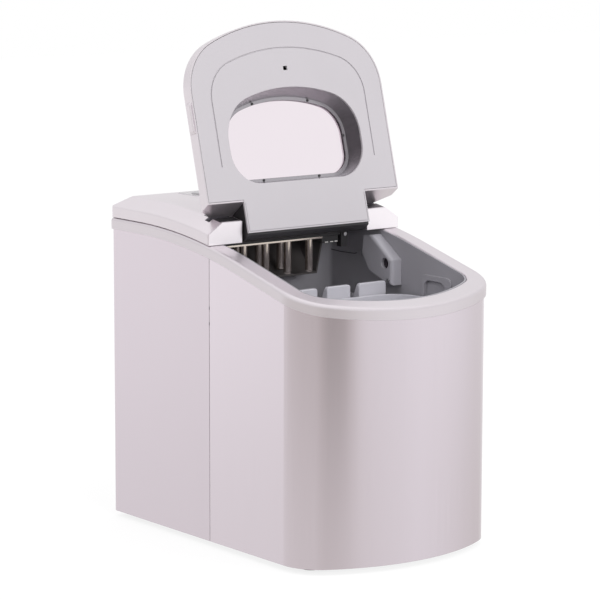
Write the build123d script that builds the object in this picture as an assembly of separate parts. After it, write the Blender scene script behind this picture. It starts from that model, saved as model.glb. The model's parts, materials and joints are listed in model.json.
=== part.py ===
from build123d import *
import math
import os

os.makedirs("parts", exist_ok=True)

# Countertop bullet-ice maker, millimetres. X is the width, the front faces -Y, Z is up.
# The origin is on the floor under the middle of the casing. The lid stands open at rest.

# Casing
half_width = 120.5
half_depth = 179.0
corner_r = 46.0
front_r = 200.4
back_corner_r = 7.0
foot_height = 5.8
sheet_inset = 2.0
sheet_thick = 1.0
wrap_joint_y = 6.0
wrap_joint_gap = 0.6

# Seam line under the lid: flat at the back, an arc, then a straight slope to the front
rim_slope = 14.7
seam_flat_z = 312.3
seam_flat_y = 127.8
seam_arc_r = 664.0
slope_end_y = seam_flat_y - seam_arc_r * math.sin(math.radians(rim_slope))
slope_end_z = seam_flat_z - seam_arc_r * (1 - math.cos(math.radians(rim_slope)))

# Collar
collar_band = 11.5
collar_skirt = 1.8
collar_plate = 3.0
collar_round = 3.6
collar_inner_round = 1.8
opening_half = 100.8
opening_front = -159.0
opening_corner_r = 26.0
opening_front_r = 180.4
opening_back = 95.0

# Rear top cover
cover_half = 119.5
cover_front = 5.5
cover_back = 178.0
cover_side_rise = 11.0
cover_top_rise = 22.0
cover_chamfer = 16.5
cover_wall = 2.5
cover_edge_r = 2.0
parting_depth = 0.8
trough_r = 13.6
trough_start = 5.3
cover_seam = 0.4
recess_half = 79.0
recess_back = 41.3

# Lid, in its own frame: s runs from the tab end to the tip, h from the inner face outwards
lid_lean = 15.0
lid_foot_y = -2.0
lid_foot_z = 311.4
lid_half = 120.0
lid_length = 210.0
lid_notch_s = 31.3
lid_tab_half = 76.7
lid_corner_r = 55.0
lid_front_r = 214.0
lid_side = 12.0
lid_thick = 23.5
lid_chamfer = 16.5
lid_end_slant = 0.44
lid_edge_r = 2.5
lid_rim_wall = 1.4
lid_skin = 2.0
panel_gap = 0.4
panel_thick = 2.2
sensor_slot = 2.5
pivot_s = 13.3
pivot_h = 14.35
pin_r = 2.5
pin_clearance = 0.05

# Ice chamber
chamber_half = 99.0
chamber_wall = 1.6
chamber_back = 92.0
shelf_front = -8.0
shelf_z = 200.0
tub_floor_z = 62.0

# Evaporator, and the tray that tips round it
finger_r = 4.0
finger_pitch = 27.6
finger_bottom = 260.5
plate_z = 295.0
plate_front = 21.0
plate_back = 76.0
plate_thick = 1.8
arm_left = 54.7
arm_right = 57.5
front_row_y = 30.0
back_row_y = 60.0
front_row_x = -87.1
back_row_x = -73.3
tray_axis_y = 45.0
tray_axis_z = 293.0
tray_inner_r = 39.0
tray_outer_r = 41.0
tray_left = -94.0
tray_right = 53.5
tray_arc = 120.0
tray_tip = 75.0
shaft_r = 3.0

# Shovel and basket
comb_front = -22.0
comb_top = 252.5
rail_top = 229.0
shovel_bed_z = 226.0
basket_half = 97.0
basket_front = -155.0
basket_back = -24.5
basket_rim_z = 240.0
basket_floor_z = 112.0
basket_wall = 1.8

# Controls
button_r = 8.0
button_x = 36.0
button_y = 138.0
button_travel = 1.0
overlay_width = 104.0
overlay_depth = 40.0
board_z = 315.0

# Machine compartment
compressor_x = 38.0
compressor_y = 66.0
compressor_r = 46.0
fan_x = -55.0
fan_z = 96.0
fan_r = 43.0
drain_x = 88.0
drain_z = 36.0
gland_x = 50.0
gland_z = 36.0
gland_bore_r = 3.6
back_face_y = half_depth - sheet_inset


def save(name, *solids):
    shape = solids[0] if len(solids) == 1 else Compound(children=list(solids))
    export_step(shape, f"parts/{name}.step")


def slab(x0, x1, y0, y1, z0, z1):
    return Pos((x0 + x1) / 2, (y0 + y1) / 2, (z0 + z1) / 2) * Box(x1 - x0, y1 - y0, z1 - z0)


def rod_x(x0, x1, y, z, r):
    return Pos((x0 + x1) / 2, y, z) * Rot(0, 90, 0) * Cylinder(r, x1 - x0)


def rod_y(y0, y1, x, z, r):
    return Pos(x, (y0 + y1) / 2, z) * Rot(90, 0, 0) * Cylinder(r, y1 - y0)


def rod_z(z0, z1, x, y, r):
    return Pos(x, y, (z0 + z1) / 2) * Cylinder(r, z1 - z0)


def tube(points, radii, r):
    path = FilletPolyline(*points, radius=radii)
    return sweep(Plane(origin=path @ 0, z_dir=path % 0) * Circle(r), path=path)


def both_sides(solid):
    return [solid, mirror(solid, about=Plane.YZ)]


def bowed_plan(half, back_y, front_y, side_r, bow_r, back_r=0.0):
    """Plan with straight sides, rounded front corners and a bowed front, all tangent."""
    bow_y = front_y + bow_r
    side = half - side_r
    reach = bow_r - side_r
    corner_y = bow_y - math.sqrt(reach**2 - side**2)
    lean = math.degrees(math.asin(side / reach))
    face = make_face(
        [
            Line((-half, back_y), (half, back_y)),
            Line((half, back_y), (half, corner_y)),
            CenterArc((side, corner_y), side_r, 0, lean - 90),
            CenterArc((0, bow_y), bow_r, lean - 90, -2 * lean),
            CenterArc((-side, corner_y), side_r, -90 - lean, lean - 90),
            Line((-half, corner_y), (-half, back_y)),
        ]
    )
    if back_r > 0:
        face = fillet(face.vertices().group_by(Axis.Y)[-1], back_r)
    return face


def casing_plan(inset):
    return bowed_plan(
        half_width - inset,
        half_depth - inset,
        inset - half_depth,
        corner_r - inset,
        front_r - inset,
        back_corner_r - inset,
    )


def chamber_plan(inset, back_y):
    return bowed_plan(
        opening_half - inset,
        back_y,
        opening_front + inset,
        opening_corner_r - inset,
        opening_front_r - inset,
        6.0,
    )


def seam_face(rise, top_y=220.0, low_y=-220.0):
    """The YZ area under the seam line, raised by rise."""
    slope = math.tan(math.radians(rim_slope))
    front_z = slope_end_z + rise - (slope_end_y - low_y) * slope
    area = make_face(
        [
            Line((top_y, 0), (top_y, seam_flat_z + rise)),
            Line((top_y, seam_flat_z + rise), (seam_flat_y, seam_flat_z + rise)),
            CenterArc((seam_flat_y, seam_flat_z - seam_arc_r + rise), seam_arc_r, 90, rim_slope),
            Line((slope_end_y, slope_end_z + rise), (low_y, front_z)),
            Line((low_y, front_z), (low_y, 0)),
            Line((low_y, 0), (top_y, 0)),
        ]
    )
    return Plane.YZ * area


def below_seam(rise):
    return extrude(seam_face(rise), amount=130, both=True)


def seam_z(y):
    if y > seam_flat_y:
        return seam_flat_z
    if y > slope_end_y:
        return seam_flat_z - seam_arc_r + math.sqrt(seam_arc_r**2 - (seam_flat_y - y) ** 2)
    return slope_end_z - (slope_end_y - y) * math.tan(math.radians(rim_slope))


def wrap_sheet():
    outer = extrude(casing_plan(sheet_inset), amount=seam_flat_z)
    inner = extrude(casing_plan(sheet_inset + sheet_thick), amount=seam_flat_z)
    ring = (outer - inner) & below_seam(-collar_band + 4)
    return ring - slab(-130, 130, -200, 200, -1, foot_height)


def make_wraps():
    sheet = wrap_sheet()
    front = sheet & slab(-130, 130, -200, wrap_joint_y, 0, 330)
    rear = sheet & slab(-130, 130, wrap_joint_y + wrap_joint_gap, 200, 0, 330)
    for row in range(14):
        z = 70 + row * 9.0
        rear -= slab(-100, 10, back_face_y - 4, back_face_y + 4, z, z + 3.2)
    for column in range(12):
        y = 62 + column * 8.0
        rear -= slab(half_width - 6, half_width + 2, y, y + 3.2, 70, 150)
    rear -= rod_y(back_face_y - 4, back_face_y + 4, drain_x, drain_z, 13)
    rear -= rod_y(back_face_y - 4, back_face_y + 4, gland_x, gland_z, 7)
    save("front_wrap_panel", front)
    save("rear_shell", rear)
    lap_x = half_width - sheet_inset - sheet_thick
    strip = slab(lap_x - 1.1, lap_x, wrap_joint_y - 10, wrap_joint_y + 14, 22, 284)
    save("side_lap_strips", *both_sides(strip))


def make_base():
    edge = sheet_inset + sheet_thick + 0.1
    plate = extrude(casing_plan(edge), amount=14)
    plate -= Pos(0, 0, 1.2) * extrude(casing_plan(edge + 1.2), amount=14)
    plate = Pos(0, 0, foot_height) * plate
    feet = []
    for x in (-88, 88):
        for y in (-118, 148):
            plate -= rod_z(foot_height - 1, foot_height + 3, x, y, 4.1)
            foot = rod_z(0, foot_height, x, y, 12) + rod_z(foot_height, foot_height + 3, x, y, 4.0)
            foot += rod_z(foot_height + 1.3, foot_height + 3, x, y, 5.5)
            feet.append(fillet(foot.edges().group_by(Axis.Z)[0], 1.5))
    save("base_plate", plate)
    save("rubber_feet", *feet)


def on_outer_top(edge):
    middle = edge @ 0.5
    outside = abs(middle.X) > opening_half + 1 or middle.Y < opening_front - 1 or middle.Y > half_depth - 1
    return outside and abs(middle.Z - seam_z(middle.Y)) < 0.3


def on_opening_top(edge):
    middle = edge @ 0.5
    inside = abs(middle.X) < opening_half + 0.5 and opening_front - 1 < middle.Y < opening_back - 0.5
    return inside and abs(middle.Z - seam_z(middle.Y)) < 0.3


def make_collar():
    rim = extrude(casing_plan(0), amount=seam_flat_z + 5) & below_seam(0)
    rim = fillet(rim.edges().filter_by(on_outer_top), collar_round)
    rim -= below_seam(-collar_band)
    rim -= extrude(casing_plan(collar_skirt), amount=seam_flat_z + 5) & below_seam(-collar_plate)
    rim -= extrude(chamber_plan(0, opening_back), amount=seam_flat_z + 5)
    rim = fillet(rim.edges().filter_by(on_opening_top), collar_inner_round)
    rim -= slab(-100, 100, 106, 168, 0, 330)
    save("collar_rim", rim)


def cover_block(inset, lift):
    """Block over the seam line with chamfered sides and back, inset at the sides, lowered by lift."""
    chamfer_slope = (cover_top_rise - cover_side_rise) / cover_chamfer
    drop = lift * math.sqrt(1 + chamfer_slope**2)
    half = cover_half - inset
    block = slab(-half, half, cover_front + inset, cover_back - inset, 240, 360)
    block &= extrude(casing_plan(1.0 + inset), amount=360)
    block &= below_seam(cover_top_rise - lift)
    side = Pos(cover_half, 0, 0) * seam_face(cover_side_rise - drop)
    wedge = extrude(side, amount=320, dir=(-1, 0, chamfer_slope))
    block &= wedge
    block &= mirror(wedge, about=Plane.YZ)
    low = seam_flat_z + cover_side_rise - drop
    rise = 60 * chamfer_slope
    back = make_face(
        Polyline(
            (cover_back, low), (cover_back + 12, low - 12 * chamfer_slope), (cover_back + 12, low + rise),
            (cover_back - 60, low + rise), close=True,
        )
    )
    block -= extrude(Plane.YZ * back, amount=130, both=True)
    return block - below_seam(cover_seam - (5 if lift else 0))


def on_cover_shoulder(edge):
    middle = edge @ 0.5
    return middle.Z - seam_z(middle.Y) > cover_side_rise - 0.5 and middle.Y > cover_front + 1


def make_top_cover():
    recess = slab(-recess_half, recess_half, 0, recess_back, 250, 360)
    inner_recess = slab(
        -recess_half - cover_wall, recess_half + cover_wall, 0, recess_back + cover_wall, 240, 360
    )
    outer = cover_block(0, 0)
    outer = fillet(outer.edges().filter_by(on_cover_shoulder), cover_edge_r)
    cover = outer - recess
    cover -= cover_block(cover_wall, cover_wall) - inner_recess
    pivot_y, pivot_z = pivot_place()
    for side in (-1, 1):
        near, far = sorted((side * recess_half, side * (recess_half + 10)))
        cover += rod_x(near, far, pivot_y, pivot_z, 5) & outer
        cover -= rod_x(near - 1, far + 1, pivot_y, pivot_z, pin_r)
        cover -= trough_cut(side, trough_r)
    parting = slab(-130, 130, cover_front + 0.9, cover_front + 1.5, 240, 360)
    cover -= parting - cover_block(parting_depth, parting_depth)
    top_z = seam_flat_z + cover_top_rise
    overlay_plan = RectangleRounded(overlay_width, overlay_depth, 8)
    cover -= Pos(0, button_y, top_z - 1.0) * extrude(overlay_plan, amount=8)
    for x in (-button_x, button_x):
        cover -= rod_z(top_z - 8, top_z + 2, x, button_y, button_r)
    for x in lens_places():
        cover -= rod_z(top_z - 8, top_z + 2, x, button_y + 6, 2.5)
    for x, y in board_posts():
        cover += rod_z(board_z + 1.6, top_z - 2, x, y, 3)
        cover -= rod_z(board_z + 1.6, top_z - 6, x, y, 1.2)
    save("rear_top_cover", cover)


def trough_cut(side, radius):
    """The hollow behind a hinge block that the lid's end swings down into."""
    y, z = pivot_place()
    near, far = sorted((side * (recess_half - 3), side * (cover_half - cover_chamfer + 5)))
    return rod_x(near, far, y, z, radius) & slab(near, far, y + trough_start, y + 20, z - 3, z + 20)


def make_troughs():
    y, z = pivot_place()
    hollow = rod_x(-130, 130, y, z, trough_r - 1.2) & slab(-130, 130, y, y + 20, z - 2, z + 20)
    lining = (trough_cut(1, trough_r - 0.1) - hollow) & cover_block(0.3, 0.3)
    lining &= slab(recess_half + 0.3, 110, -20, 60, 250, 360)
    save("hinge_troughs", *both_sides(lining))


def lens_places():
    return [-16 + 8 * i for i in range(5)]


def board_posts():
    return [(x, y) for x in (-58, 58) for y in (122, 154)]


def make_controls():
    top_z = seam_flat_z + cover_top_rise
    overlay_plan = RectangleRounded(overlay_width - 0.6, overlay_depth - 0.6, 7.7)
    overlay = Pos(0, button_y, top_z - 1.0) * extrude(overlay_plan, amount=1.2)
    for x in (-button_x, button_x):
        overlay -= rod_z(top_z - 4, top_z + 2, x, button_y, button_r)
    for x in lens_places():
        overlay -= rod_z(top_z - 4, top_z + 2, x, button_y + 6, 2.1)
    save("control_overlay", overlay)
    lenses = [rod_z(top_z - 3, top_z + 0.4, x, button_y + 6, 2.0) for x in lens_places()]
    save("indicator_lenses", *lenses)

    board = slab(-64, 64, 116, 160, board_z, board_z + 1.6)
    for x, y in board_posts():
        board -= rod_z(board_z - 1, board_z + 3, x, y, 1.3)
    save("control_board", board)
    screws = []
    for x, y in board_posts():
        screws.append(rod_z(board_z - 2, board_z, x, y, 2.6) + rod_z(board_z, board_z + 8, x, y, 1.2))
    save("board_screws", *screws)
    switch_top = board_z + 8
    switches = []
    for x in (-button_x, button_x):
        body = slab(x - 6, x + 6, button_y - 6, button_y + 6, board_z + 1.6, board_z + 6)
        switches.append(body + rod_z(board_z + 6, switch_top, x, button_y, 2.5))
    save("tact_switches", *switches)

    for name, x in (("select_button", -button_x), ("power_button", button_x)):
        cap = rod_z(top_z - 3, top_z + 1.6, x, button_y, button_r - 0.4)
        cap = fillet(cap.edges().group_by(Axis.Z)[-1], 1.0)
        cap += rod_z(top_z - 4.6, top_z - 3, x, button_y, button_r + 1.0)
        stem_end = switch_top + button_travel + 0.3
        cap += rod_z(stem_end, top_z - 4.6, x, button_y, 2.2)
        save(name, cap)


def lid_plan(inset, reach=0.0):
    return bowed_plan(
        lid_half - inset,
        reach - lid_notch_s - inset,
        inset - lid_length,
        lid_corner_r - inset,
        lid_front_r - inset,
    )


def lid_frame():
    return Pos(0, lid_foot_y, lid_foot_z) * Rot(-90 - lid_lean, 0, 0)


def pivot_place():
    lean = math.radians(lid_lean)
    y = lid_foot_y + pivot_s * math.sin(lean) + pivot_h * math.cos(lean)
    z = lid_foot_z + pivot_s * math.cos(lean) - pivot_h * math.sin(lean)
    return y, z


def behind_lid_end(inset):
    """Everything past the lid's slanted end wall, inset into it."""
    start = -lid_notch_s - inset * math.hypot(1, lid_end_slant)
    low, high = start - lid_end_slant, start + 30 * lid_end_slant
    outline = Polyline((low, -1), (high, 30), (40, 30), (40, -1), close=True)
    return extrude(Plane.YZ * make_face(outline), amount=130, both=True)


def chamfered_plate(inset, height, wall_height, run):
    plate = extrude(lid_plan(inset, lid_end_slant * lid_thick), amount=height)
    top = plate.faces().sort_by(Axis.Z)[-1]
    edges = top.edges().sort_by(Axis.Y)[:-1]
    plate = chamfer(edges, length=run, length2=height - wall_height, reference=top)
    return plate - behind_lid_end(inset)


def window_plan(half, low_s, high_s, side_r, bow_r, back_r):
    return bowed_plan(half, -low_s, -high_s, side_r, bow_r, back_r)


def panel_window(grow=0.0):
    return window_plan(83 + grow, 48 - grow, 142.5 + grow, 44 + grow, 170 + grow, 33 + grow)


def pane_window(grow=0.0):
    return window_plan(73.5 + grow, 54.5 - grow, 132.5 + grow, 33 + grow, 160 + grow, 20 + grow)


def knuckle_profile(skin, floor_h):
    """Section of the hinge knuckle in YZ: a disc about the pivot cut by the lid's skin and end wall."""
    swing = math.hypot(pivot_s, pivot_h)
    disc = Pos(-pivot_s, pivot_h) * Circle(swing - skin)
    roof = lid_thick - 0.3 - skin
    end = -lid_notch_s + 0.5 + skin
    area = Polyline(
        (end + lid_end_slant * floor_h, floor_h), (end + lid_end_slant * roof, roof), (30, roof), (30, floor_h),
        close=True,
    )
    return Plane.YZ * (disc & make_face(area))


def on_lid_shoulder(edge):
    low, middle, high = (edge @ share for share in (0, 0.5, 1))
    level = max(low.Z, middle.Z, high.Z) - min(low.Z, middle.Z, high.Z) < 0.01
    at_shoulder = min(abs(middle.Z - lid_thick), abs(middle.Z - lid_side)) < 0.01
    return level and at_shoulder and middle.Y < -lid_notch_s


def make_lid_cover():
    slope = (lid_thick - lid_side) / lid_chamfer
    drop = lid_skin * math.sqrt(1 + slope**2)
    inner_wall = lid_side - drop + slope * lid_rim_wall
    inner_top = lid_thick - lid_skin
    inner_run = (inner_top - inner_wall) / slope
    cover = chamfered_plate(0, lid_thick, lid_side, lid_chamfer)
    cover = fillet(cover.edges().filter_by(on_lid_shoulder), lid_edge_r)
    grip = slab(lid_half - 3, lid_half + 2, -134, -101, 1.5, 9.5)
    grip = fillet(grip.edges().filter_by(Axis.Z).sort_by(Axis.X)[-2:], 4)
    grip = fillet(grip.faces().sort_by(Axis.X)[-1].edges().filter_by(Axis.Y), 1.2)
    for bump in both_sides(grip):
        cover += bump
    cavity = chamfered_plate(lid_rim_wall, inner_top, inner_wall, inner_run)
    cavity += slab(-lid_tab_half, lid_tab_half, -lid_notch_s - 4, -15, 0, panel_thick + 0.2)
    cover -= cavity
    cover -= extrude(pane_window(), amount=40)
    save("lid_outer_cover", lid_frame() * cover)


def make_lid_panel():
    inset = lid_rim_wall + panel_gap
    tab = lid_tab_half - panel_gap
    panel = extrude(lid_plan(inset), amount=panel_thick)
    panel += slab(-tab, tab, -lid_notch_s - 4, 0, 0, panel_thick)
    tab_line = slab(-tab + 1.4, tab - 1.4, -lid_notch_s + 1, -1.4, 0, 0.8)
    panel -= tab_line - slab(-tab + 1.8, tab - 1.8, -60, -1.8, -1, 2)
    panel -= extrude(panel_window(), amount=panel_thick)
    groove = bowed_plan(96.6, -67, -183.1, 40.6, 203.6) - bowed_plan(95.4, -60, -181.9, 39.4, 202.4)
    panel -= extrude(groove, amount=0.9)
    panel -= slab(-sensor_slot, sensor_slot, -163.8, -159.6, -1, panel_thick + 1)
    save("lid_inner_panel", lid_frame() * panel)


def make_window():
    low, lip, top = panel_thick + 0.1, 17.6, 19.2
    outer = loft([Pos(0, 0, low) * panel_window(1.2), Pos(0, 0, lip) * pane_window(4.6)], ruled=True)
    inner = loft([Pos(0, 0, low) * panel_window(0.0), Pos(0, 0, lip) * pane_window(3.2)], ruled=True)
    frame = outer - inner
    frame += Pos(0, 0, lip) * extrude(pane_window(4.6) - pane_window(0.0), amount=top - lip)
    save("window_frame", lid_frame() * frame)
    pane = Pos(0, 0, top) * extrude(pane_window(5.0), amount=lid_thick - lid_skin - top - 0.05)
    save("window_pane", lid_frame() * pane)
    heads = []
    for x, s in ((-35, 52.9), (35, 52.9), (-35, 130.2), (35, 130.2), (-73.6, 92), (73.6, 92)):
        head = rod_z(lip - 1.0, lip, x, -s, 1.3)
        heads.append(lid_frame() * fillet(head.edges().group_by(Axis.Z)[0], 0.4))
    save("window_screws", *heads)


def make_hinge():
    inner = lid_tab_half - panel_gap
    bearing = inner - 8
    knuckle = extrude(knuckle_profile(0, panel_thick + 0.1), amount=inner, both=True)
    knuckle -= extrude(knuckle_profile(1.8, panel_thick), amount=bearing, both=True)
    for side in (-1, 1):
        near, far = sorted((side * bearing, side * (inner + 1)))
        knuckle -= rod_x(near - 1, far + 1, -pivot_s, pivot_h, pin_r + pin_clearance)
    save("hinge_barrel", lid_frame() * knuckle)
    y, z = pivot_place()
    pin = rod_x(recess_half - 9, recess_half + 10, y, z, pin_r)
    save("hinge_pins", *both_sides(pin))


def make_liner():
    inset = opening_half - chamber_half
    wall = inset - chamber_wall
    upper_out = extrude(chamber_plan(wall, chamber_back + chamber_wall), amount=320)
    upper_out &= slab(-120, 120, -200, 200, shelf_z - chamber_wall, 320)
    lower_out = extrude(chamber_plan(wall, shelf_front + chamber_wall), amount=320)
    lower_out &= slab(-120, 120, -200, 200, tub_floor_z - chamber_wall, 320)
    upper_in = extrude(chamber_plan(inset, chamber_back), amount=330)
    upper_in &= slab(-120, 120, -200, 200, shelf_z, 330)
    lower_in = extrude(chamber_plan(inset, shelf_front), amount=330)
    lower_in &= slab(-120, 120, -200, 200, tub_floor_z, 330)
    liner = (upper_out + lower_out) & below_seam(-1.0)
    flange = extrude(chamber_plan(-5.0, chamber_back + 6.0), amount=320)
    flange = (flange & below_seam(-collar_plate - 0.2)) - below_seam(-collar_plate - 2.4)
    liner += flange
    liner -= upper_in + lower_in
    for sign in (-1, 1):
        rail = slab(93, chamber_half + 0.5, shelf_front + 1, 88, rail_top - 3.7, rail_top)
        lug_front = slab(90, chamber_half + 0.5, -110, -90, 105, basket_floor_z - 0.3)
        lug_back = slab(90, chamber_half + 0.5, -50, -34, 105, basket_floor_z - 0.3)
        pad = slab(chamber_half - 1.4, chamber_half + 0.5, -104, -58, 225, 262.5)
        pad = fillet(pad.edges().filter_by(Axis.X).sort_by(Axis.Z)[-2:], 7)
        pad = fillet(pad.faces().sort_by(Axis.X)[0].edges(), 0.6)
        pocket = slab(chamber_half - 2, chamber_half + 2.2, -95, -62.5, 228, 257)
        pocket = fillet(pocket.edges().filter_by(Axis.X).group_by(Axis.Z)[-1], 8)
        backing = slab(chamber_half + 0.2, chamber_half + 3.6, -98, -59.5, 224, 260)
        extra = rail + lug_front + lug_back + pad + backing - pocket
        if sign < 0:
            extra, pocket = mirror(extra, about=Plane.YZ), mirror(pocket, about=Plane.YZ)
        liner = liner + extra - pocket
    liner -= rod_z(40, 80, 60, -40, 5)
    liner -= rod_z(40, 80, -70, -30, 5)
    liner -= rod_y(chamber_back - 2, chamber_back + 4, -90, 285, 4)
    liner -= rod_x(-chamber_half - 4, -chamber_half + 1, tray_axis_y, tray_axis_z, 6.3)
    save("chamber_liner", liner)
    foam = extrude(chamber_plan(-11, shelf_front - 4), amount=155)
    foam -= extrude(chamber_plan(wall - 0.4, shelf_front + 20), amount=155)
    save("foam_jacket", Pos(0, 0, 66) * foam)


def make_evaporator():
    fingers = []
    rows = ((front_row_x, front_row_y, 5), (back_row_x, back_row_y, 4))
    for first_x, y, count in rows:
        for i in range(count):
            finger = rod_z(finger_bottom, plate_z, first_x + i * finger_pitch, y, finger_r)
            fingers.append(fillet(finger.edges().group_by(Axis.Z)[0], 2.5))
    save("evaporator_fingers", *fingers)
    left, right = tray_left + 2.4, front_row_x + 4 * finger_pitch + 10
    save("evaporator_plate", slab(left, right, plate_front, plate_back, plate_z, plate_z + plate_thick))
    low, high = plate_z + plate_thick, plate_z + plate_thick + 2.2
    cover = slab(left, right, plate_front + 1, plate_back, low, high)
    cover += slab(right, arm_right, plate_front + 1, tray_axis_y - 7, low, high)
    cover += slab(arm_left, arm_right, tray_axis_y - 7, tray_axis_y + 7, tray_axis_z, high)
    cover += rod_x(arm_left, arm_right, tray_axis_y, tray_axis_z, 7)
    cover -= rod_x(arm_left - 1, arm_right + 1, tray_axis_y, tray_axis_z, shaft_r + pin_clearance)
    cover += slab(left, right, 46, 64, high, 314)
    save("evaporator_cover", cover)
    save("evaporator_stubs", *[rod_z(314, 318, x, 56, 3) for x in (-60, -20)])


def tray_sector(radius):
    """A slice of a disc about the tray's axis, in YZ, where the tipped tray lies."""
    first = tray_tip - 90 - tray_arc / 2
    centre = (tray_axis_y, tray_axis_z)
    arc = CenterArc(centre, radius, first, tray_arc)
    return Plane.YZ * make_face([Line(centre, arc @ 0), arc, Line(arc @ 1, centre)])


def make_tray():
    length = tray_right - tray_left
    end_wall = 1.8
    tray = Pos(tray_left, 0, 0) * extrude(tray_sector(tray_outer_r), amount=length)
    tray -= rod_x(tray_left + end_wall, tray_right - end_wall, tray_axis_y, tray_axis_z, tray_inner_r)
    for x0, x1 in ((tray_left, tray_left + end_wall), (tray_right - end_wall, tray_right)):
        tray += rod_x(x0, x1, tray_axis_y, tray_axis_z, 6)
    save("water_tray", tray)
    left = rod_x(-chamber_half - 5.2, tray_left, tray_axis_y, tray_axis_z, shaft_r)
    right = rod_x(tray_right, tray_right + 3.8, tray_axis_y, tray_axis_z, shaft_r)
    save("tray_shafts", left, right)
    bore = shaft_r + pin_clearance
    bush = rod_x(-chamber_half - 3.5, tray_left - 0.5, tray_axis_y, tray_axis_z, 6)
    bush -= rod_x(-chamber_half - 6, tray_left, tray_axis_y, tray_axis_z, bore)
    save("tray_bush", bush)
    motor_end = -chamber_half - 4
    motor = slab(motor_end - 12, motor_end, 22, 62, 262, 297.5)
    motor = fillet(motor.edges().filter_by(Axis.X), 4)
    motor -= rod_x(motor_end - 1.5, motor_end + 1, tray_axis_y, tray_axis_z, bore)
    save("tray_motor", motor)
    ear = slab(arm_right, arm_right + 8.2, plate_front, plate_front + 7, 284.5, 300.6)
    screw_x, screw_z = arm_right + 4, 297.3
    save("cover_ear", ear - rod_y(plate_front - 1, plate_front + 8, screw_x, screw_z, 1.6))
    screw = rod_y(plate_front - 2, plate_front, screw_x, screw_z, 2.0)
    save("cover_screw", screw + rod_y(plate_front, plate_front + 6, screw_x, screw_z, 1.5))


def bracket_profile(tail):
    points = [(7.5, 295.7), (-25.5, 273.2), (-25.8, 247.1), (-17.6, 247.1), (-6, 251)] + tail
    return Plane.YZ * make_face(Polyline(*points, close=True))


def make_sensor_brackets():
    tails = {
        "right_sensor_bracket": [(10.5, 258.5), (22.2, 276.2), (20, 294)],
        "left_sensor_bracket": [(2.5, 260.0), (4.5, 276.0), (7.5, 288)],
    }
    for name, tail in tails.items():
        bracket = Pos(86, 0, 0) * extrude(bracket_profile(tail), amount=chamber_half - 86 - 0.05)
        front = bracket.edges().filter_by(lambda e: (e @ 0.5).X < 86.1 and (e @ 0.5).Y < 0)
        bracket = fillet(front, 3.6)
        bracket -= rod_x(84, 92, -14.5, 268.9, 5.6)
        if name.startswith("left"):
            bracket = mirror(bracket, about=Plane.YZ)
        save(name, bracket)
    lens = rod_x(89.5, 92, -14.5, 268.9, 5.5)
    save("ice_sensor_lenses", *both_sides(lens))
    screw = rod_x(84.9, 86, -20.5, 251.6, 2.2)
    save("bracket_screws", *both_sides(screw))


def make_shovel():
    bed = shovel_bed_z
    section = Polyline(
        (comb_front, bed), (comb_front, comb_top), (comb_front + 4.5, comb_top), (comb_front + 9, bed + 16),
        (comb_front + 9, bed), close=True,
    )
    shovel = slab(-84, 84, comb_front, comb_front + 76, bed, bed + 2)
    for x0, x1 in ((-82, -47), (-36, -6), (6, 36), (47, 82)):
        tooth = Pos(x0, 0, 0) * extrude(Plane.YZ * make_face(section), amount=x1 - x0)
        top = tooth.faces().sort_by(Axis.Z)[-1]
        tooth = fillet(top.edges().filter_by(Axis.Y), 3.0)
        tooth = fillet(tooth.edges().filter_by(Axis.X).group_by(Axis.Z)[-1], 1.2)
        shovel += tooth
    runner = slab(82, 84, -12, comb_front + 76, bed, rail_top + 2.3)
    runner += slab(82, 92.5, -5, comb_front + 76, rail_top + 0.3, rail_top + 2.3)
    for piece in both_sides(runner):
        shovel += piece
    save("ice_shovel", shovel)


def make_basket():
    bow = opening_front_r - (basket_front - opening_front)
    rim_plan = bowed_plan(basket_half, basket_back, basket_front, 23, bow, 33)
    wall_plan = bowed_plan(basket_half - 2.5, basket_back - 2.5, basket_front + 2.5, 20.5, bow - 2.5, 30.5)
    inner = basket_wall + 2.5
    inner_plan = bowed_plan(
        basket_half - inner, basket_back - inner, basket_front + inner, 23 - inner, bow - inner, 33 - inner
    )
    basket = Pos(0, 0, basket_floor_z) * extrude(wall_plan, amount=basket_rim_z - basket_floor_z)
    basket += Pos(0, 0, basket_rim_z - 3) * extrude(rim_plan, amount=3)
    basket -= Pos(0, 0, basket_floor_z + basket_wall) * extrude(inner_plan, amount=200)
    basket = fillet(basket.edges().group_by(Axis.Z)[-1], 0.6)
    holes = [rod_z(100, 120, x, y, 3.5) for x in range(-60, 61, 30) for y in range(-128, -40, 22)]
    basket -= holes
    save("ice_basket", basket)


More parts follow.
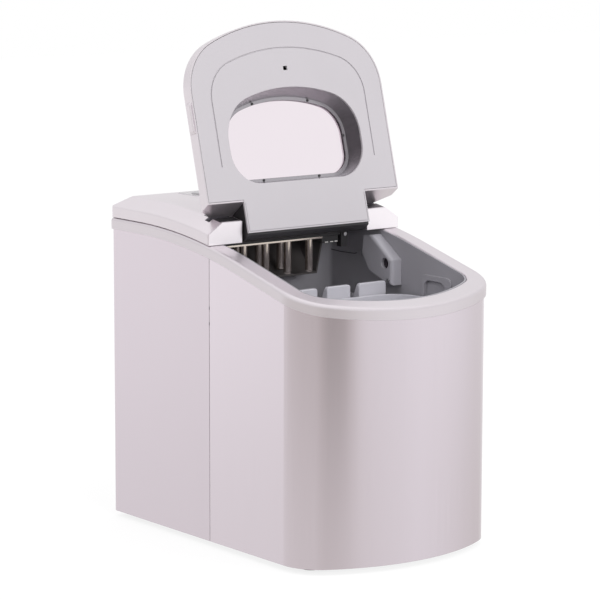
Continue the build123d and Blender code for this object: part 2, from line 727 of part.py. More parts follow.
def make_machine():
    x, y = compressor_x, compressor_y
    body = rod_z(14, 140, x, y, compressor_r)
    body = fillet(body.edges(), 20)
    body += rod_z(70, 73, x, y, compressor_r + 1.5)
    save("compressor", body)
    plate = slab(x - 56, x + 56, y - 40, y + 40, 12, 14)
    save("compressor_plate", plate)
    grommets = []
    for dx in (-46, 46):
        for dy in (-32, 32):
            grommets.append(rod_z(7.0, 12, x + dx, y + dy, 7))
    save("compressor_grommets", *grommets)

    fins = [slab(-104 + 6 * i, -103.2 + 6 * i, 143, 165, 44, 200) for i in range(21)]
    coil = [rod_x(-106, 19, 154, 54 + 22 * i, 3.5) for i in range(7)]
    condenser = fins[0].fuse(*fins[1:], *coil)
    save("condenser", condenser)

    shroud = slab(fan_x - 47, fan_x + 47, 118, 140, fan_z - 47, fan_z + 47)
    shroud -= rod_y(110, 150, fan_x, fan_z, fan_r + 1)
    shroud += slab(fan_x - 47, fan_x + 47, 118, 120, fan_z - 3, fan_z + 3)
    shroud += slab(fan_x - 3, fan_x + 3, 118, 120, fan_z - 47, fan_z + 47)
    shroud -= rod_y(110, 150, fan_x, fan_z, 6)
    save("fan_shroud", shroud)
    motor = rod_y(101, 118, fan_x, fan_z, 18) + rod_y(118, 120.6, fan_x, fan_z, 5.8)
    save("fan_motor", motor + rod_y(120.6, 132, fan_x, fan_z, 2.0))
    blade = Pos(0, 25, 0) * Rot(0, 34, 0) * Box(18, 28, 1.4)
    rotor = Cylinder(13, 12) + [Rot(0, 0, 72 * i) * blade for i in range(5)]
    rotor -= Cylinder(2.03, 40)
    save("fan_rotor", Pos(fan_x, 129, fan_z) * Rot(90, 0, 0) * rotor)

    pump = slab(-92, -52, 14, 54, 7.0, 40) + rod_z(40, 46, -72, 34, 14)
    pump += rod_x(-52, -44, 34, 22, 4) + rod_z(46, 52, -72, 34, 4)
    save("water_pump", pump)
    supply = [(-72, 34, 52), (-72, 34, 72), (-90, 60, 82), (-90, 104, 110), (-90, 104, 285), (-90, 93.6, 285)]
    save("supply_hose", tube(supply, [9, 16, 16, 7], 4))
    suction = [(-70, -30, 60.4), (-70, -30, 22), (-40, -8, 22), (-34, 34, 22), (-44, 34, 22)]
    save("suction_hose", tube(suction, [12, 10, 4], 4))
    drain = [
        (60, -40, 60.4), (60, -40, 34), (104, -10, 28), (104, 110, 28), (drain_x, 132, drain_z),
        (drain_x, 150, drain_z),
    ]
    save("drain_hose", tube(drain, [9, 14, 12, 7], 5))
    hot = [(46, 66, 140), (46, 66, 172), (38, 104, 176), (14, 128, 212), (14, 154, 212), (14, 154, 200)]
    cold = [(20, 66, 140), (20, 66, 162), (-12, 104, 172), (-12, 104, 270), (-12, 93.6, 270)]
    save("copper_lines", tube(hot, [10, 10, 10, 5], 3), tube(cold, [9, 9, 7], 3))
    save("filter_drier", fillet(rod_z(70, 150, 66, 150, 9).edges(), 5))
    save("gas_valve", slab(82, 104, 136, 160, 190, 222) + rod_z(222, 240, 93, 148, 5))
    save("terminal_box", slab(40, 78, 134, 168, 200, 260))


def make_rear_fittings():
    port = rod_y(150, back_face_y + 0.4, drain_x, drain_z, 9)
    port += rod_y(back_face_y - 3.4, back_face_y - sheet_thick - 0.05, drain_x, drain_z, 15)
    port -= rod_y(149, 181, drain_x, drain_z, 6.05)
    save("drain_port", port)
    cap = rod_y(back_face_y + 0.6, half_depth - 0.1, drain_x, drain_z, 11)
    cap += rod_y(164, back_face_y + 0.6, drain_x, drain_z, 4.6)
    save("drain_cap", cap)
    seal = rod_y(166, 172, drain_x, drain_z, 6.0) - rod_y(165, 173, drain_x, drain_z, 4.6)
    save("drain_seal", seal)
    gland = rod_y(back_face_y, half_depth - 0.1, gland_x, gland_z, 9)
    gland += rod_y(back_face_y - sheet_thick, back_face_y, gland_x, gland_z, 7)
    gland += rod_y(back_face_y - 10, back_face_y - sheet_thick, gland_x, gland_z, 8.4)
    gland -= rod_y(150, 190, gland_x, gland_z, gland_bore_r)
    save("cord_gland", gland)
    screws = []
    for x in (-108, 108):
        for z in (30, 160, 280):
            head = rod_y(back_face_y, back_face_y + 1.6, x, z, 3.4)
            screws.append(fillet(head.edges().group_by(Axis.Y)[-1], 0.8))
    save("rear_screws", *screws)


make_wraps()
make_base()
make_collar()
make_top_cover()
make_troughs()
make_controls()
make_lid_cover()
make_lid_panel()
make_window()
make_hinge()
make_liner()
make_evaporator()
make_tray()
make_sensor_brackets()
make_shovel()
make_basket()
make_machine()
make_rear_fittings()
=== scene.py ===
import bpy
import json
import math
from mathutils import Euler, Matrix, Vector


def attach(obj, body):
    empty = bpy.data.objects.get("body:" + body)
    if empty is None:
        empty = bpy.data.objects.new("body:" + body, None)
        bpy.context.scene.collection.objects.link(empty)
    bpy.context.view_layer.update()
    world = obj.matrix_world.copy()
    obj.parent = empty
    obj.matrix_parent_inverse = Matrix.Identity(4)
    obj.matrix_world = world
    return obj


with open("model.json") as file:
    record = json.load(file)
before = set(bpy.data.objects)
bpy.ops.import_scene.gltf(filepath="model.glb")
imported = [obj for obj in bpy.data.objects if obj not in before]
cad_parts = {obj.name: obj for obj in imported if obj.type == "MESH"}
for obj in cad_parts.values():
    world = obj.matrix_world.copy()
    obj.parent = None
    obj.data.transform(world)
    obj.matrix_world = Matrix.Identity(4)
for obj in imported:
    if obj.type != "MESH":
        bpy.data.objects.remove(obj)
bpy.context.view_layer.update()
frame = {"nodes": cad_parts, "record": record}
nodes = frame["nodes"]
print("frame loaded:", len(nodes), "nodes")


# Small helpers for node trees

def addNode(tree, kind, inputs=None, **settings):
    node = tree.nodes.new(kind)
    for name, value in settings.items():
        setattr(node, name, value)
    for name, value in (inputs or {}).items():
        node.inputs[name].default_value = value
    return node


def join(tree, source, target):
    tree.links.new(source, target)


def newGroup(name, inputs, outputs):
    tree = bpy.data.node_groups.new(name, "ShaderNodeTree")
    for label, kind, value in inputs:
        socket = tree.interface.new_socket(name=label, in_out="INPUT", socket_type=kind)
        socket.default_value = value
    for label, kind in outputs:
        tree.interface.new_socket(name=label, in_out="OUTPUT", socket_type=kind)
    entry = tree.nodes.new("NodeGroupInput")
    leave = tree.nodes.new("NodeGroupOutput")
    return tree, entry, leave


def placeGroup(tree, group, **values):
    node = tree.nodes.new("ShaderNodeGroup")
    node.node_tree = group
    for label, value in values.items():
        node.inputs[label].default_value = value
    return node


# Shared effects. Each puts out a value, a mask or a normal, and every material uses its own amounts.

def softEdgeGroup():
    tree, entry, leave = newGroup(
        "softEdge",
        [("Radius", "NodeSocketFloat", 0.0005)],
        [("Normal", "NodeSocketVector")],
    )
    bevel = addNode(tree, "ShaderNodeBevel", samples=4)
    join(tree, entry.outputs["Radius"], bevel.inputs["Radius"])
    join(tree, bevel.outputs["Normal"], leave.inputs["Normal"])
    return tree


def fineGrainGroup():
    tree, entry, leave = newGroup(
        "fineGrain",
        [("Size", "NodeSocketFloat", 0.0006)],
        [("Height", "NodeSocketFloat"), ("Cloud", "NodeSocketFloat")],
    )
    place = addNode(tree, "ShaderNodeTexCoord")
    scale = addNode(tree, "ShaderNodeMath", {0: 1.0}, operation="DIVIDE")
    join(tree, entry.outputs["Size"], scale.inputs[1])
    grain = addNode(tree, "ShaderNodeTexNoise", {"Detail": 2.0, "Roughness": 0.6})
    cloud = addNode(tree, "ShaderNodeTexNoise", {"Scale": 14.0, "Detail": 4.0, "Roughness": 0.55})
    join(tree, place.outputs["Object"], grain.inputs["Vector"])
    join(tree, scale.outputs["Value"], grain.inputs["Scale"])
    join(tree, place.outputs["Object"], cloud.inputs["Vector"])
    join(tree, grain.outputs["Fac"], leave.inputs["Height"])
    join(tree, cloud.outputs["Fac"], leave.inputs["Cloud"])
    return tree


def brushLinesGroup():
    tree, entry, leave = newGroup(
        "brushLines",
        [("Along", "NodeSocketVector", (260.0, 260.0, 5.0)), ("Coarse", "NodeSocketFloat", 0.35)],
        [("Lines", "NodeSocketFloat"), ("Height", "NodeSocketFloat")],
    )
    place = addNode(tree, "ShaderNodeTexCoord")
    stretch = addNode(tree, "ShaderNodeVectorMath", operation="MULTIPLY")
    fine = addNode(tree, "ShaderNodeTexNoise", {"Scale": 6.0, "Detail": 3.0, "Roughness": 0.7})
    coarse = addNode(tree, "ShaderNodeTexNoise", {"Scale": 1.3, "Detail": 2.0, "Roughness": 0.5})
    blend = addNode(tree, "ShaderNodeMix", data_type="FLOAT")
    join(tree, place.outputs["Object"], stretch.inputs[0])
    join(tree, entry.outputs["Along"], stretch.inputs[1])
    join(tree, stretch.outputs["Vector"], fine.inputs["Vector"])
    join(tree, stretch.outputs["Vector"], coarse.inputs["Vector"])
    join(tree, entry.outputs["Coarse"], blend.inputs["Factor"])
    join(tree, fine.outputs["Fac"], blend.inputs["A"])
    join(tree, coarse.outputs["Fac"], blend.inputs["B"])
    join(tree, blend.outputs["Result"], leave.inputs["Lines"])
    join(tree, fine.outputs["Fac"], leave.inputs["Height"])
    return tree


def insideBoxGroup():
    tree, entry, leave = newGroup(
        "insideBox",
        [
            ("Low", "NodeSocketVector", (0.0, 0.0, 0.0)),
            ("High", "NodeSocketVector", (0.1, 0.1, 0.1)),
            ("Blend", "NodeSocketFloat", 0.0004),
        ],
        [("Inside", "NodeSocketFloat")],
    )
    place = addNode(tree, "ShaderNodeTexCoord")
    folded = addNode(tree, "ShaderNodeVectorMath", operation="ABSOLUTE")
    above = addNode(tree, "ShaderNodeVectorMath", operation="SUBTRACT")
    below = addNode(tree, "ShaderNodeVectorMath", operation="SUBTRACT")
    nearer = addNode(tree, "ShaderNodeVectorMath", operation="MINIMUM")
    split = addNode(tree, "ShaderNodeSeparateXYZ")
    least = addNode(tree, "ShaderNodeMath", operation="MINIMUM")
    depth = addNode(tree, "ShaderNodeMath", operation="MINIMUM")
    mask = addNode(tree, "ShaderNodeMapRange", {"From Min": 0.0})
    join(tree, place.outputs["Object"], folded.inputs[0])
    join(tree, folded.outputs["Vector"], above.inputs[0])
    join(tree, entry.outputs["Low"], above.inputs[1])
    join(tree, entry.outputs["High"], below.inputs[0])
    join(tree, folded.outputs["Vector"], below.inputs[1])
    join(tree, above.outputs["Vector"], nearer.inputs[0])
    join(tree, below.outputs["Vector"], nearer.inputs[1])
    join(tree, nearer.outputs["Vector"], split.inputs["Vector"])
    join(tree, split.outputs["X"], least.inputs[0])
    join(tree, split.outputs["Y"], least.inputs[1])
    join(tree, least.outputs["Value"], depth.inputs[0])
    join(tree, split.outputs["Z"], depth.inputs[1])
    join(tree, depth.outputs["Value"], mask.inputs["Value"])
    join(tree, entry.outputs["Blend"], mask.inputs["From Max"])
    join(tree, mask.outputs["Result"], leave.inputs["Inside"])
    return tree


def facingGroup():
    tree, entry, leave = newGroup(
        "facing",
        [
            ("Toward", "NodeSocketVector", (0.0, 0.0, 1.0)),
            ("Start", "NodeSocketFloat", 0.90),
            ("Full", "NodeSocketFloat", 0.97),
        ],
        [("Facing", "NodeSocketFloat")],
    )
    place = addNode(tree, "ShaderNodeTexCoord")
    compare = addNode(tree, "ShaderNodeVectorMath", operation="DOT_PRODUCT")
    mask = addNode(tree, "ShaderNodeMapRange")
    join(tree, place.outputs["Normal"], compare.inputs[0])
    join(tree, entry.outputs["Toward"], compare.inputs[1])
    join(tree, compare.outputs["Value"], mask.inputs["Value"])
    join(tree, entry.outputs["Start"], mask.inputs["From Min"])
    join(tree, entry.outputs["Full"], mask.inputs["From Max"])
    join(tree, mask.outputs["Result"], leave.inputs["Facing"])
    return tree


softEdge = softEdgeGroup()
fineGrain = fineGrainGroup()
brushLines = brushLinesGroup()
insideBox = insideBoxGroup()
facing = facingGroup()
print("shared effects ready")


# Materials

def newMaterial(name, base, rough, metallic=0.0, **sockets):
    material = bpy.data.materials.new(name)
    material.use_nodes = True
    tree = material.node_tree
    shader = tree.nodes["Principled BSDF"]
    shader.inputs["Base Color"].default_value = (*base, 1.0)
    shader.inputs["Roughness"].default_value = rough
    shader.inputs["Metallic"].default_value = metallic
    for label, value in sockets.items():
        shader.inputs[label.replace("_", " ")].default_value = value
    return material, tree, shader


def shadeBetween(tree, shader, mask, dark, light):
    mix = addNode(tree, "ShaderNodeMix", data_type="RGBA")
    mix.inputs["A"].default_value = (*dark, 1.0)
    mix.inputs["B"].default_value = (*light, 1.0)
    join(tree, mask, mix.inputs["Factor"])
    join(tree, mix.outputs["Result"], shader.inputs["Base Color"])


def roughBetween(tree, shader, mask, low, high):
    spread = addNode(tree, "ShaderNodeMapRange", {"To Min": low, "To Max": high})
    join(tree, mask, spread.inputs["Value"])
    join(tree, spread.outputs["Result"], shader.inputs["Roughness"])


def bumped(tree, shader, height, normal, strength, depth):
    bump = addNode(tree, "ShaderNodeBump", {"Strength": strength, "Distance": depth})
    join(tree, height, bump.inputs["Height"])
    join(tree, normal, bump.inputs["Normal"])
    join(tree, bump.outputs["Normal"], shader.inputs["Normal"])


def lighter(colour, share):
    return tuple(min(1.0, value * share) for value in colour)


# How far each kind of finish strays from its own colour and roughness, how much its edges are
# rounded, and how strong its surface bumps are. Lengths are in metres.

plasticLook = {
    "shade": (0.97, 1.03),
    "rough": (0.88, 1.12),
    "edge": 0.0006,
    "bump": 0.5,
    "grain": 0.0007,
    "depth": 0.00003,
}
brushLook = {
    "shade": (0.955, 1.035),
    "rough": (0.86, 1.18),
    "edge": 0.0005,
    "bump": 0.25,
    "depth": 0.00002,
}
paintLook = {
    "shade": (0.985, 1.015),
    "rough": (0.92, 1.08),
    "edge": 0.0005,
    "bump": 0.3,
    "peel": 0.0022,
    "depth": 0.00003,
}
plateLook = {
    "rough": (0.7, 1.5),
    "edge": 0.0004,
    "bump": 0.2,
    "cloud": 0.002,
    "depth": 0.00002,
}
paneLook = {
    "shade": (0.985, 1.0),
    "rough": (0.5, 1.6),
    "haze": 0.004,
    "bending": 1.12,
}


def mouldedPlastic(name, colour, rough, grain=plasticLook["grain"], depth=plasticLook["depth"], **sockets):
    look = plasticLook
    material, tree, shader = newMaterial(name, colour, rough, **sockets)
    skin = placeGroup(tree, fineGrain, Size=grain)
    edge = placeGroup(tree, softEdge, Radius=look["edge"])
    dark, light = (lighter(colour, share) for share in look["shade"])
    smooth, coarse = look["rough"]
    shadeBetween(tree, shader, skin.outputs["Cloud"], dark, light)
    roughBetween(tree, shader, skin.outputs["Cloud"], rough * smooth, min(1.0, rough * coarse))
    bumped(tree, shader, skin.outputs["Height"], edge.outputs["Normal"], look["bump"], depth)
    return material


def brushedSteel(name, colour, rough):
    look = brushLook
    material, tree, shader = newMaterial(name, colour, rough, metallic=1.0)
    lines = placeGroup(tree, brushLines)
    edge = placeGroup(tree, softEdge, Radius=look["edge"])
    dark, light = (lighter(colour, share) for share in look["shade"])
    smooth, coarse = look["rough"]
    shadeBetween(tree, shader, lines.outputs["Lines"], dark, light)
    roughBetween(tree, shader, lines.outputs["Lines"], rough * smooth, rough * coarse)
    bumped(tree, shader, lines.outputs["Height"], edge.outputs["Normal"], look["bump"], look["depth"])
    return material


def paintedSteel(name, colour, rough, **sockets):
    look = paintLook
    material, tree, shader = newMaterial(name, colour, rough, **sockets)
    peel = placeGroup(tree, fineGrain, Size=look["peel"])
    edge = placeGroup(tree, softEdge, Radius=look["edge"])
    dark, light = (lighter(colour, share) for share in look["shade"])
    smooth, coarse = look["rough"]
    shadeBetween(tree, shader, peel.outputs["Cloud"], dark, light)
    roughBetween(tree, shader, peel.outputs["Cloud"], rough * smooth, rough * coarse)
    bumped(tree, shader, peel.outputs["Height"], edge.outputs["Normal"], look["bump"], look["depth"])
    return material


def platedMetal(name, colour, rough, stain, **sockets):
    look = plateLook
    material, tree, shader = newMaterial(name, colour, rough, metallic=1.0, **sockets)
    cloud = placeGroup(tree, fineGrain, Size=look["cloud"])
    edge = placeGroup(tree, softEdge, Radius=look["edge"])
    smooth, coarse = look["rough"]
    shadeBetween(tree, shader, cloud.outputs["Cloud"], stain, colour)
    roughBetween(tree, shader, cloud.outputs["Cloud"], rough * smooth, rough * coarse)
    bumped(tree, shader, cloud.outputs["Height"], edge.outputs["Normal"], look["bump"], look["depth"])
    return material


def clearPane(name, tint, rough):
    look = paneLook
    material, tree, shader = newMaterial(name, tint, rough, Transmission_Weight=1.0, IOR=look["bending"])
    haze = placeGroup(tree, fineGrain, Size=look["haze"])
    dark, light = (lighter(tint, share) for share in look["shade"])
    smooth, coarse = look["rough"]
    roughBetween(tree, shader, haze.outputs["Cloud"], rough * smooth, rough * coarse)
    shadeBetween(tree, shader, haze.outputs["Cloud"], dark, light)
    return material


# Painted light and shade: a tone laid over a material's colour where a mask says.
def toneOver(material, mask, tone):
    tree = material.node_tree
    shader = tree.nodes["Principled BSDF"]
    before = shader.inputs["Base Color"].links[0].from_socket
    mix = addNode(tree, "ShaderNodeMix", data_type="RGBA")
    mix.inputs["B"].default_value = (*tone, 1.0)
    join(tree, mask, mix.inputs["Factor"])
    join(tree, before, mix.inputs["A"])
    join(tree, mix.outputs["Result"], shader.inputs["Base Color"])


def toneInside(material, tone, low, high):
    box = placeGroup(material.node_tree, insideBox, Low=low, High=high)
    toneOver(material, box.outputs["Inside"], tone)
    return material


def toneFacing(material, tone, toward, **limits):
    side = placeGroup(material.node_tree, facing, Toward=toward, **limits)
    toneOver(material, side.outputs["Facing"], tone)
    return material


finish = {
    "silver": (0.80, 0.745, 0.785),
    "knuckle": (0.03, 0.028, 0.031),
    "windowRim": (0.42, 0.40, 0.43),
    "shadedScrew": (0.03, 0.028, 0.03),
    "film": (0.62, 0.59, 0.62),
    "button": (0.55, 0.54, 0.56),
    "sensor": (0.02, 0.012, 0.02),
    # Near black for the window screws: painted shade, as the screw heads sit in shadow.
    "pane": (0.87, 0.80, 0.845),
    "indicator": (0.55, 0.62, 0.55),
    "hose": (0.62, 0.63, 0.62),
    "rubber": (0.02, 0.02, 0.021),
    "screw": (0.6, 0.6, 0.61),
    "zinc": (0.55, 0.56, 0.57),
    "aluminium": (0.72, 0.73, 0.74),
    "compressor": (0.012, 0.012, 0.013),
    "board": (0.01, 0.09, 0.035),
    "foam": (0.8, 0.79, 0.76),
    # Pale colour of the painted glints on the black box.
    "glint": (0.8, 0.78, 0.76),
    "shell": (0.715, 0.645, 0.70),
    "wrap": (0.75, 0.68, 0.735),
    "panel": (0.515, 0.49, 0.52),
    "grey": (0.515, 0.505, 0.55),
    "bracket": (0.36, 0.35, 0.385),
    "liner": (0.325, 0.315, 0.345),
    "frame": (0.13, 0.12, 0.14),
    "tray": (0.085, 0.078, 0.078),
    "black": (0.022, 0.021, 0.023),
    "nickel": (0.80, 0.75, 0.69),
    "copper": (0.72, 0.36, 0.20),
}

# The darker colour in the clouds of each plated or bare metal

stains = {
    "nickel": (0.62, 0.53, 0.45),
    "copper": (0.45, 0.20, 0.11),
    "screw": (0.45, 0.45, 0.46),
    "zinc": (0.45, 0.46, 0.48),
    "aluminium": (0.62, 0.63, 0.65),
}


def silverPlastic(name, share=1.0):
    return mouldedPlastic(name, lighter(finish["silver"], share), 0.3, metallic=0.85)


materials = {
    "silver_plastic": silverPlastic("silverPlastic"),
    "painted_shell": paintedSteel("paintedShell", finish["shell"], 0.2, metallic=1.0),
    "brushed_wrap": brushedSteel("brushedWrap", finish["wrap"], 0.14),
    "panel_grey": mouldedPlastic("panelGrey", finish["panel"], 0.5),
    "grey_plastic": mouldedPlastic("greyPlastic", finish["grey"], 0.42),
    "liner_plastic": mouldedPlastic("linerPlastic", finish["liner"], 0.4),
    "frame_dark": mouldedPlastic("frameDark", finish["frame"], 0.35),
    "tray_plastic": mouldedPlastic("trayPlastic", finish["tray"], 0.35),
    "black_plastic": mouldedPlastic("blackPlastic", finish["black"], 0.45),
    "panel_film": mouldedPlastic("panelFilm", finish["film"], 0.22, depth=0.00001, metallic=0.8),
    "button_silver": mouldedPlastic("buttonSilver", finish["button"], 0.3, metallic=0.6),
    "sensor_black": mouldedPlastic("sensorLens", finish["sensor"], 0.08, depth=0.000005),
    "window_clear": clearPane("windowClear", finish["pane"], 0.03),
    "lens_clear": mouldedPlastic("indicatorLens", finish["indicator"], 0.15, depth=0.00001),
    "hose_clear": mouldedPlastic("hoseMilky", finish["hose"], 0.3, Subsurface_Weight=0.2),
    "soft_rubber": mouldedPlastic("softRubber", finish["rubber"], 0.75, depth=0.00006),
    "nickel": platedMetal("nickelPlate", finish["nickel"], 0.09, stains["nickel"]),
    "copper": platedMetal("drawnCopper", finish["copper"], 0.25, stains["copper"]),
    "screw_steel": platedMetal("screwSteel", finish["screw"], 0.25, stains["screw"]),
    "zinc_steel": platedMetal("zincSteel", finish["zinc"], 0.38, stains["zinc"]),
    "fin_aluminium": platedMetal("finAluminium", finish["aluminium"], 0.35, stains["aluminium"]),
    "compressor_black": paintedSteel("compressorBlack", finish["compressor"], 0.25, Coat_Weight=0.4),
    "board_green": mouldedPlastic("boardGreen", finish["board"], 0.3, depth=0.00001),
    "foam_white": mouldedPlastic("beadFoam", finish["foam"], 0.8, grain=0.004, depth=0.0006),
}

# Parts with painted light and shade over the colour of their slot. The roofs behind the hinge blocks' fronts
# get painted shade between low and high, mirrored about the middle. So do the lid's end wall and the
# sides of its window frame, while the blocks' fronts get painted light.

paintedTones = {
    # Painted shade in the hollow behind the hinge blocks, inside the box from low to high.
    "hollow": (0.10, 0.095, 0.105),
    "hollowLow": (0.0796, 0.0074, 0.25),
    "hollowHigh": (0.1040, 0.0353, 0.36),
    # Painted light on the hinge blocks' front faces.
    "blockFrontLight": (1.0, 0.95, 0.99),
    # Painted shade on the lid's end wall.
    "lidEndShade": (0.20, 0.185, 0.20),
    # Painted shade on the window frame's sides.
    "windowSideShade": (0.09, 0.08, 0.09),
    # The collar's silver is darkened by this share: painted shade.
    "collarShadeShare": 0.92,
}


def coverSilverLitAndShaded():
    # The cover's faces toward the front get painted light.
    material = toneFacing(silverPlastic("coverSilverLitAndShaded"), paintedTones["blockFrontLight"], (0, -1, 0))
    # The hollow behind the blocks gets painted shade.
    return toneInside(material, paintedTones["hollow"], paintedTones["hollowLow"], paintedTones["hollowHigh"])


def windowRim():
    material = mouldedPlastic("windowFrameShaded", finish["windowRim"], 0.25, metallic=0.6)
    # The frame's sides facing the -X way get painted shade.
    return toneFacing(material, paintedTones["windowSideShade"], (-1, 0, 0), Start=0.30, Full=0.95)


bracketPlastic = mouldedPlastic("bracketPlastic", finish["bracket"], 0.4)
exceptions = {
    "rear_top_cover": coverSilverLitAndShaded(),
    # The lid's downward-facing end wall gets painted shade.
    "lid_outer_cover": toneFacing(silverPlastic("lidSilverShaded"), paintedTones["lidEndShade"], (0, 0, -1)),
    # The collar gets a darker copy of the silver: painted shade.
    "collar_rim": silverPlastic("collarSilverShaded", paintedTones["collarShadeShare"]),
    "hinge_barrel": mouldedPlastic("knuckleDark", finish["knuckle"], 0.4),
    "left_sensor_bracket": bracketPlastic,
    "right_sensor_bracket": bracketPlastic,
    "window_frame": windowRim(),
    # The window screws are painted near black: painted shade.
    "window_screws": paintedSteel("shadedScrew", finish["shadedScrew"], 0.35),
}

for subpart in frame["record"]["subparts"]:
    part = nodes[subpart["node"]]
    part.data.materials.clear()
    part.data.materials.append(exceptions.get(subpart["node"], materials[subpart["material_slot"]]))
print("materials placed on", len(nodes), "nodes")


# Small fittings. They all stay on the casing, and their places are in millimetres.

def onCasing(thing, material):
    thing.data.materials.append(material)
    bpy.context.scene.collection.objects.link(thing)
    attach(thing, "casing")
    return thing


def inMetres(point):
    return tuple(value / 1000 for value in point)


def addBlock(name, low, high, material, soft):
    (x0, y0, z0), (x1, y1, z1) = inMetres(low), inMetres(high)
    corners = [(x, y, z) for x in (x0, x1) for y in (y0, y1) for z in (z0, z1)]
    sides = [(0, 1, 3, 2), (4, 6, 7, 5), (0, 4, 5, 1), (2, 3, 7, 6), (0, 2, 6, 4), (1, 5, 7, 3)]
    mesh = bpy.data.meshes.new(name)
    mesh.from_pydata(corners, [], sides)
    block = onCasing(bpy.data.objects.new(name, mesh), material)
    rounding = block.modifiers.new("softEdges", "BEVEL")
    rounding.width = soft / 1000
    rounding.segments = 2


def addWire(name, points, thick, material):
    curve = bpy.data.curves.new(name, "CURVE")
    curve.dimensions = "3D"
    curve.bevel_depth = thick / 2 / 1000
    curve.bevel_resolution = 3
    curve.use_fill_caps = True
    line = curve.splines.new("POLY")
    line.points.add(len(points) - 1)
    for spot, point in zip(line.points, points):
        spot.co = (*inMetres(point), 1.0)
    onCasing(bpy.data.objects.new(name, curve), material)


# The sensor lead clipped along the chamber's right wall

sideLead = {
    "points": [(98.5, 90.5, 271.0), (98.5, 74, 270.3), (98.5, 50, 270.8), (98.5, 46, 272.0)],
    "thick": 0.8,
    "clipLow": (97.7, 38.5, 269.8),
    "clipHigh": (98.95, 45.5, 274.6),
    "clipSoft": 0.5,
}


def buildSideLead():
    lead = sideLead
    addWire("sideLead", lead["points"], lead["thick"], materials["black_plastic"])
    addBlock("sideLeadClip", lead["clipLow"], lead["clipHigh"], materials["liner_plastic"], lead["clipSoft"])


# The black box beside the evaporator plate, with painted glints along its lower edge: small pale blocks that
# stand in for reflections

glintBox = {
    "low": (33.6, 22.2, 289.8),
    "high": (54.4, 36.5, 296.6),
    "soft": 0.2,
    "glintX": [(37.5, 41.5), (44.0, 48.0), (50.0, 53.5)],
    "glintY": (21.7, 22.3),
    "glintZ": (290.1, 291.0),
    "glintSoft": 0.1,
}


def buildGlintBox():
    box = glintBox
    addBlock("glintBox", box["low"], box["high"], materials["black_plastic"], box["soft"])
    front, back = box["glintY"]
    bottom, top = box["glintZ"]
    # Small pale blocks stand in for glints: painted highlights.
    bright = mouldedPlastic("glintBright", finish["glint"], 0.3)
    for index, (left, right) in enumerate(box["glintX"]):
        name = "glint" + str(index + 1)
        addBlock(name, (left, front, bottom), (right, back, top), bright, box["glintSoft"])


# Two dark clips that show in the joint of the left side panel

seamClips = {
    "heights": [224.5, 240.0],
    "tall": 3.0,
    "wide": 1.1,
    "joint": 6.3,
    "side": -118.5,
    "proud": 0.12,
    "sunk": 0.4,
    "soft": 0.05,
}


def buildSeamClips():
    clip = seamClips
    halfWide, halfTall = clip["wide"] / 2, clip["tall"] / 2
    for index, height in enumerate(clip["heights"]):
        low = (clip["side"] - clip["proud"], clip["joint"] - halfWide, height - halfTall)
        high = (clip["side"] + clip["sunk"], clip["joint"] + halfWide, height + halfTall)
        addBlock("seamClip" + str(index + 1), low, high, materials["frame_dark"], clip["soft"])


buildSideLead()
buildGlintBox()
buildSeamClips()
print("fittings built")


# Studio: a pale floor and a soft surround. Its levels are relative to plain white. The spans dip,
# lift and crown are heights of a ray's direction: dip leads from the near ring to the low one,
# lift from the rings to overhead, and crown from overhead to zenith.

studio = {
    "floorSize": 6.0,
    "floorGrey": (0.9, 0.9, 0.9),
    "floorRough": 0.8,
    "floorWhite": 1.06,
    "shadowShare": 0.25,
    "overhead": 0.84,
    "zenith": 1.05,
    "dip": (-0.158, -0.235),
    "lift": (-0.02, 0.14),
    "crown": (0.35, 0.9),
    "peak": 1.1,
    "warmBelow": 0.92,
    "warmSpan": 0.45,
    "warmth": 0.06,
}

# How bright the surround is, by compass angle: 0 is straight in front, 90 is to the right.
# The near ring is met by rays that dip less below the horizon, the low ring by steeper ones.

nearRing = [
    (-180, 1.02), (-145, 1.06), (-142, 1.00), (-137, 0.78), (-126, 0.70), (-110, 0.63),
    (-85, 0.59), (-60, 0.57), (-44, 0.54), (-36, 0.48), (-28, 0.43), (-19, 0.37),
    (-13, 0.36), (-9, 0.42), (-5, 0.64), (0, 0.83), (5, 0.88), (24, 0.94),
    (42, 0.99), (60, 0.98), (75, 0.92), (90, 0.83), (105, 0.82), (130, 0.98), (180, 1.02),
]
lowRing = [
    (-180, 0.88), (-145, 0.87), (-138, 0.80), (-126, 0.77), (-110, 0.76), (-85, 0.75),
    (-52, 0.75), (-44, 0.73), (-28, 0.71), (-19, 0.70), (-9, 0.74), (0, 0.79),
    (14, 0.83), (24, 0.85), (38, 0.89), (52, 0.86), (66, 0.82), (80, 0.76),
    (94, 0.71), (115, 0.76), (140, 0.88), (180, 0.88),
]


def ringRamp(tree, ring, angle):
    ramp = addNode(tree, "ShaderNodeValToRGB")
    stops = ramp.color_ramp.elements
    stops.remove(stops[-1])
    for index, (degrees, level) in enumerate(ring):
        where = (degrees + 180) / 360
        stop = stops[0] if index == 0 else stops.new(where)
        stop.position = where
        dimmed = (studio["warmBelow"] - level) / studio["warmSpan"]
        warm = studio["warmth"] * min(1.0, max(0.0, dimmed))
        shade = level / studio["peak"]
        stop.color = (shade * (1 + warm), shade, shade * (1 - warm), 1.0)
    join(tree, angle, ramp.inputs["Fac"])
    return ramp.outputs["Color"]


def mixColours(tree, factor, first, second):
    mix = addNode(tree, "ShaderNodeMix", data_type="RGBA")
    join(tree, factor, mix.inputs["Factor"])
    for label, value in (("A", first), ("B", second)):
        if isinstance(value, tuple):
            mix.inputs[label].default_value = value
        else:
            join(tree, value, mix.inputs[label])
    return mix.outputs["Result"]


def greyLevel(level):
    share = level / studio["peak"]
    return (share, share, share, 1.0)


def heightSpan(tree, height, span):
    low, high = studio[span]
    spread = addNode(tree, "ShaderNodeMapRange", {"From Min": low, "From Max": high})
    join(tree, height, spread.inputs["Value"])
    return spread.outputs["Result"]


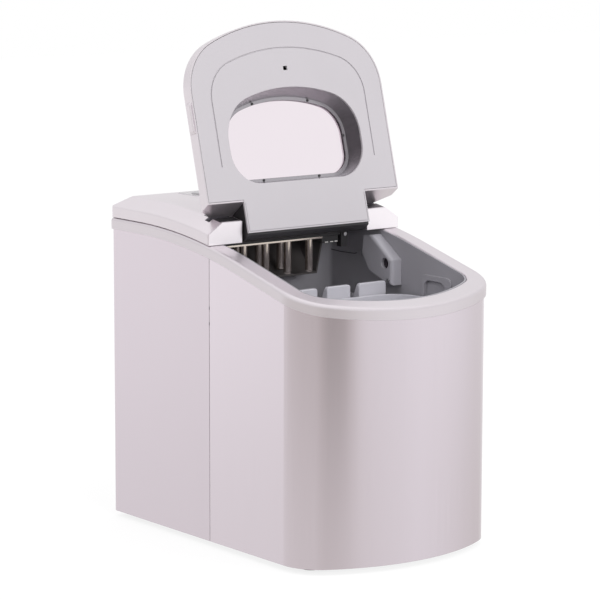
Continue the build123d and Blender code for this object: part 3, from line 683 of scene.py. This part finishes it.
def buildSurround():
    world = bpy.data.worlds.new("softStudio")
    bpy.context.scene.world = world
    world.use_nodes = True
    tree = world.node_tree
    tree.nodes.clear()
    place = addNode(tree, "ShaderNodeTexCoord")
    split = addNode(tree, "ShaderNodeSeparateXYZ")
    flip = addNode(tree, "ShaderNodeMath", {1: -1.0}, operation="MULTIPLY")
    turn = addNode(tree, "ShaderNodeMath", operation="ARCTAN2")
    unit = addNode(tree, "ShaderNodeMapRange", {"From Min": -math.pi, "From Max": math.pi})
    join(tree, place.outputs["Generated"], split.inputs["Vector"])
    join(tree, split.outputs["Y"], flip.inputs[0])
    join(tree, split.outputs["X"], turn.inputs[0])
    join(tree, flip.outputs["Value"], turn.inputs[1])
    join(tree, turn.outputs["Value"], unit.inputs["Value"])
    angle, height = unit.outputs["Result"], split.outputs["Z"]
    near, low = ringRamp(tree, nearRing, angle), ringRamp(tree, lowRing, angle)
    overhead, zenith = greyLevel(studio["overhead"]), greyLevel(studio["zenith"])
    rings = mixColours(tree, heightSpan(tree, height, "dip"), near, low)
    upper = mixColours(tree, heightSpan(tree, height, "crown"), overhead, zenith)
    glowColour = mixColours(tree, heightSpan(tree, height, "lift"), rings, upper)
    glow = addNode(tree, "ShaderNodeBackground", {"Strength": studio["peak"]})
    white = addNode(tree, "ShaderNodeBackground", {"Color": (1.0, 1.0, 1.0, 1.0)})
    ray = addNode(tree, "ShaderNodeLightPath")
    seen = addNode(tree, "ShaderNodeMath", operation="MAXIMUM")
    mix = addNode(tree, "ShaderNodeMixShader")
    out = addNode(tree, "ShaderNodeOutputWorld")
    join(tree, glowColour, glow.inputs["Color"])
    join(tree, ray.outputs["Is Camera Ray"], seen.inputs[0])
    join(tree, ray.outputs["Is Transmission Ray"], seen.inputs[1])
    join(tree, seen.outputs["Value"], mix.inputs["Fac"])
    join(tree, glow.outputs["Background"], mix.inputs[1])
    join(tree, white.outputs["Background"], mix.inputs[2])
    join(tree, mix.outputs["Shader"], out.inputs["Surface"])


def buildFloor():
    size = studio["floorSize"]
    mesh = bpy.data.meshes.new("studioFloor")
    corners = [(-size, -size, 0), (size, -size, 0), (size, size, 0), (-size, size, 0)]
    mesh.from_pydata(corners, [], [(0, 1, 2, 3)])
    floor = bpy.data.objects.new("studioFloor", mesh)
    bpy.context.scene.collection.objects.link(floor)
    material, tree, shader = newMaterial("paleFloor", studio["floorGrey"], studio["floorRough"])
    sweep = addNode(tree, "ShaderNodeEmission", {"Strength": studio["floorWhite"]})
    blend = addNode(tree, "ShaderNodeMixShader", {"Fac": studio["shadowShare"]})
    join(tree, sweep.outputs["Emission"], blend.inputs[1])
    join(tree, shader.outputs["BSDF"], blend.inputs[2])
    join(tree, blend.outputs["Shader"], tree.nodes["Material Output"].inputs["Surface"])
    mesh.materials.append(material)
    floor.visible_glossy = False
    floor.visible_diffuse = False
    floor.visible_transmission = False


softboxes = {
    "keySoftbox": {"place": (1.2, -1.9, 2.3), "target": (0, 0, 0.2), "size": (1.6, 1.2), "power": 16},
    "fillSoftbox": {"place": (-2.4, 0.6, 1.9), "target": (0, 0, 0.2), "size": (1.4, 1.4), "power": 7},
    "frontSoftbox": {"place": (-0.4, -2.6, 1.05), "target": (0, 0, 0.28), "size": (1.2, 0.6), "power": 24},
}


def buildSoftboxes():
    for name, box in softboxes.items():
        light = bpy.data.lights.new(name, "AREA")
        light.shape = "RECTANGLE"
        light.size, light.size_y = box["size"]
        light.energy = box["power"]
        holder = bpy.data.objects.new(name, light)
        holder.location = box["place"]
        toward = Vector(box["target"]) - Vector(box["place"])
        holder.rotation_euler = toward.to_track_quat("-Z", "Y").to_euler()
        holder.visible_glossy = False
        holder.visible_transmission = False
        bpy.context.scene.collection.objects.link(holder)


lens = {
    "place": (-1.6759, -2.1562, 0.6700),
    "heading": -37.668,
    "down": 8.999,
    "roll": 0.133,
    "focalMm": 165.49,
    "sensorMm": 36.0,
    "nearest": 0.1,
    "farthest": 50.0,
}


def buildCamera():
    data = bpy.data.cameras.new("productCamera")
    data.lens = lens["focalMm"]
    data.sensor_width = lens["sensorMm"]
    data.clip_start = lens["nearest"]
    data.clip_end = lens["farthest"]
    camera = bpy.data.objects.new("productCamera", data)
    aim = Euler((math.radians(90 - lens["down"]), 0, math.radians(lens["heading"])), "XYZ").to_matrix()
    camera.rotation_euler = (aim @ Matrix.Rotation(math.radians(lens["roll"]), 3, "Z")).to_euler()
    camera.location = lens["place"]
    bpy.context.scene.collection.objects.link(camera)
    bpy.context.scene.camera = camera


buildSurround()
buildFloor()
buildSoftboxes()
buildCamera()
bpy.context.scene.view_settings.view_transform = "Standard"
print("studio built")
